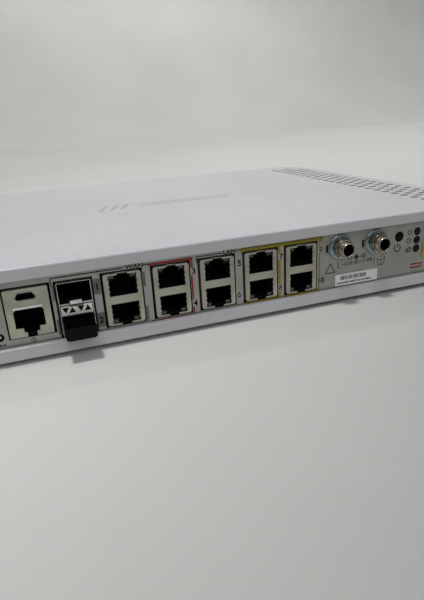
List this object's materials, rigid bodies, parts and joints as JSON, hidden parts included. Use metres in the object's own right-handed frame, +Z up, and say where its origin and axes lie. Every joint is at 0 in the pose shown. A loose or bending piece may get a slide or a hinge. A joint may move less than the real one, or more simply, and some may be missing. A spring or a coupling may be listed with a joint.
{
  "type": "optical network terminal",
  "caption": "Desktop network terminal in a flat plastic case, with stacked copper ports, a two-high optical cage, console jack, threaded power inlets, buttons and side vents.",
  "frame": {"origin": "centre of the whole object's box at table level, dust plug included", "axes": "+X along the front to the right, +Y from the ports to the back, +Z up"},
  "size_m": [0.3146, 0.244, 0.0411],
  "materials": {
    "case_plastic": "fine moulded grain, light lilac-grey",
    "plate_metal": "satin grey paint over sheet metal",
    "shield_metal": "dull nickel-plated sheet",
    "cage_metal": "bright plated sheet",
    "nickel": "bright nickel plate",
    "zinc": "bright zinc plate",
    "black_plastic": "moulded black plastic",
    "rubber": "matt rubber",
    "board_green": "solder mask on glass-epoxy board",
    "chip_black": "moulded epoxy",
    "sink_metal": "extruded aluminium",
    "pad_grey": "soft gap pad",
    "steel": "plated steel",
    "lens": "dark smoked lens",
    "label_white": "white paper label",
    "sticker_yellow": "yellow vinyl",
    "sheet_amber": "thin insulating film"
  },
  "bodies": {
    "case": {"top_cover": "case_plastic", "bottom_cover": "case_plastic", "face_plate": "plate_metal", "serial_label": "label_white", "yellow_sticker": "sticker_yellow", "console_shield": "shield_metal", "console_housing": "black_plastic", "usb_tongue": "black_plastic", "sfp_cage": "cage_metal", "sfp_arrow_strip": "cage_metal", "power_switch": "chip_black", "button_board": "board_green", "reset_switch": "chip_black", "main_board": "board_green", "insulator_sheet": "sheet_amber", "processor": "chip_black", "thermal_pad": "pad_grey", "heat_sink": "sink_metal", "memory_socket": "chip_black", "memory_module": "board_green", "storage_socket": "chip_black", "storage_module": "board_green", "coin_cell_holder": "chip_black", "coin_cell": "steel", "power_converter": "chip_black", "rj45_shield_1": "shield_metal", "rj45_housing_1": "black_plastic", "rj45_shield_2": "shield_metal", "rj45_housing_2": "black_plastic", "rj45_shield_3": "shield_metal", "rj45_housing_3": "black_plastic", "rj45_shield_4": "shield_metal", "rj45_housing_4": "black_plastic", "rj45_shield_5": "shield_metal", "rj45_housing_5": "black_plastic", "foot_1": "rubber", "cover_screw_1": "steel", "board_screw_1": "steel", "foot_2": "rubber", "cover_screw_2": "steel", "board_screw_2": "steel", "foot_3": "rubber", "cover_screw_3": "steel", "board_screw_3": "steel", "foot_4": "rubber", "cover_screw_4": "steel", "board_screw_4": "steel", "dc_jack_1": "nickel", "dc_washer_1": "zinc", "dc_nut_1": "nickel", "dc_jack_2": "nickel", "dc_washer_2": "zinc", "dc_nut_2": "nickel", "status_light_1": "lens", "status_light_2": "lens", "status_light_3": "lens"},
    "dust_plug": {"sfp_dust_plug": "black_plastic"},
    "power_key": {"power_button": "black_plastic"},
    "reset_key": {"reset_button": "case_plastic"},
    "latch_leaf": {"sfp_latch_tab": "cage_metal"}
  },
  "joints": [
    {"name": "dust_plug_pull", "type": "slide", "parent": "case", "child": "dust_plug", "axis": [0, -1, 0], "range_m": [0, 0.0135]},
    {"name": "power_press", "type": "slide", "parent": "case", "child": "power_key", "axis": [0, 1, 0], "range_m": [0, 0.0012], "stiffness_N_per_m": 1500},
    {"name": "reset_press", "type": "slide", "parent": "case", "child": "reset_key", "axis": [0, 1, 0], "range_m": [0, 0.001], "stiffness_N_per_m": 1500},
    {"name": "latch_flex", "type": "hinge", "parent": "case", "child": "latch_leaf", "pos_m": [-0.06885, -0.09845, 0.02195], "axis": [1, 0, 0], "range_deg": [0, 4], "stiffness_Nm_per_rad": 0.05}
  ]
}
